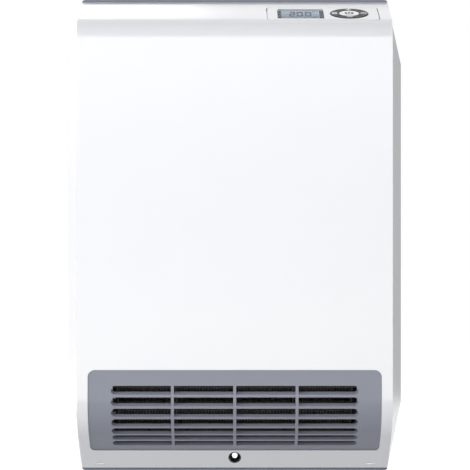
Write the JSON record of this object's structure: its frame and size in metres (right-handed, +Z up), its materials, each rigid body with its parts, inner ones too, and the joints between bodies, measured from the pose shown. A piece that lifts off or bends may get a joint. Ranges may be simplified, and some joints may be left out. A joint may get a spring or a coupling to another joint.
{
  "type": "fan convector heater",
  "caption": "Wall-mounted fan convector heater: tall white casing with sloping top and bottom, slotted outlet grille, display, ring of keys, cross-flow fan and heating coils.",
  "frame": {"origin": "centre of the wall bracket's four screw holes, on the wall plane", "axes": "+X to the viewer's right, +Y into the wall, +Z up; the front faces -Y"},
  "size_m": [0.332, 0.135, 0.47],
  "materials": {
    "zinc_plate": "zinc-plated sheet",
    "black_rubber": "soft black",
    "grey_shell": "fine moulded texture",
    "white_shell": "satin white",
    "grille_grey": "fine moulded texture",
    "screw_steel": "bright zinc",
    "panel_white": "satin white",
    "clear_lens": "clear acrylic",
    "dark_trim": "satin",
    "display_grey": "liquid crystal cell",
    "light_guide": "diffuse",
    "carrier_grey": "moulded",
    "key_black": "glossy black",
    "key_white": "satin white",
    "board_green": "solder resist",
    "duct_steel": "galvanised sheet, darkened by heat",
    "fan_black": "moulded",
    "shaft_steel": "ground",
    "bronze": "sintered",
    "rotor_alloy": "cast end rings",
    "core_steel": "laminated",
    "coil_copper": "enamelled winding",
    "cast_alloy": "die cast",
    "mica_board": "pressed dark mica",
    "heating_wire": "resistance wire, darkened by heat",
    "fuse_white": "glazed",
    "relay_blue": "moulded",
    "parts_yellow": "moulded",
    "ivory_plastic": "moulded",
    "cable_grey": "insulation",
    "cable_black": "insulation",
    "cable_red": "silicone insulation"
  },
  "bodies": {
    "casing": {"wall_bracket": "zinc_plate", "wall_pads": "black_rubber", "rear_casing": "grey_shell", "front_cover": "white_shell", "outlet_grille": "grille_grey", "cover_screws": "screw_steel", "control_panel": "panel_white", "display_lens": "clear_lens", "display_frame": "dark_trim", "display_glass": "display_grey", "display_backlight": "light_guide", "key_carrier": "carrier_grey", "control_board": "board_green", "key_switches": "dark_trim", "control_board_screws": "screw_steel", "duct_scroll": "duct_steel", "duct_tongue": "duct_steel", "duct_end_left": "duct_steel", "duct_end_right": "duct_steel", "duct_screws": "screw_steel", "fan_bearing": "bronze", "bearing_rubber": "black_rubber", "motor_core": "core_steel", "motor_coil": "coil_copper", "motor_bracket_inner": "cast_alloy", "motor_bracket_outer": "cast_alloy", "motor_screws": "screw_steel", "heater_frame": "mica_board", "heater_coils": "heating_wire", "heater_terminals": "screw_steel", "thermal_cutout": "dark_trim", "thermal_fuse": "fuse_white", "power_board": "board_green", "power_board_screws": "screw_steel", "relays": "relay_blue", "power_parts": "parts_yellow", "terminal_block": "ivory_plastic", "cable_gland": "black_rubber", "room_sensor": "dark_trim", "lock_bush": "key_black", "display_cable": "cable_grey", "motor_lead": "cable_black", "heater_lead": "cable_red"},
    "fan": {"fan_wheel": "fan_black", "fan_pin": "shaft_steel", "motor_shaft": "shaft_steel", "motor_rotor": "rotor_alloy"},
    "key_plus_body": {"key_plus": "key_black"},
    "key_minus_body": {"key_minus": "key_black"},
    "key_menu_body": {"key_menu": "key_black"},
    "key_timer_body": {"key_timer": "key_black"},
    "key_power_body": {"key_power": "key_white"},
    "lock": {"lock_screw": "screw_steel"}
  },
  "joints": [
    {"name": "fan_spin", "type": "hinge", "parent": "casing", "child": "fan", "pos_m": [0, -0.055, -0.118], "axis": [1, 0, 0], "continuous": true},
    {"name": "press_plus", "type": "slide", "parent": "casing", "child": "key_plus_body", "axis": [0, 0.342, -0.9397], "range_m": [0, 0.0008], "stiffness_N_per_m": 250, "springref_m": -0.002},
    {"name": "press_minus", "type": "slide", "parent": "casing", "child": "key_minus_body", "axis": [0, 0.342, -0.9397], "range_m": [0, 0.0008], "stiffness_N_per_m": 250, "springref_m": -0.002},
    {"name": "press_menu", "type": "slide", "parent": "casing", "child": "key_menu_body", "axis": [0, 0.342, -0.9397], "range_m": [0, 0.0008], "stiffness_N_per_m": 250, "springref_m": -0.002},
    {"name": "press_timer", "type": "slide", "parent": "casing", "child": "key_timer_body", "axis": [0, 0.342, -0.9397], "range_m": [0, 0.0008], "stiffness_N_per_m": 250, "springref_m": -0.002},
    {"name": "press_power", "type": "slide", "parent": "casing", "child": "key_power_body", "axis": [0, 0.342, -0.9397], "range_m": [0, 0.0008], "stiffness_N_per_m": 250, "springref_m": -0.002},
    {"name": "lock_turn", "type": "hinge", "parent": "casing", "child": "lock", "pos_m": [0, -0.06, -0.2197], "axis": [0, 1, 0], "range_deg": [0, 90]}
  ]
}
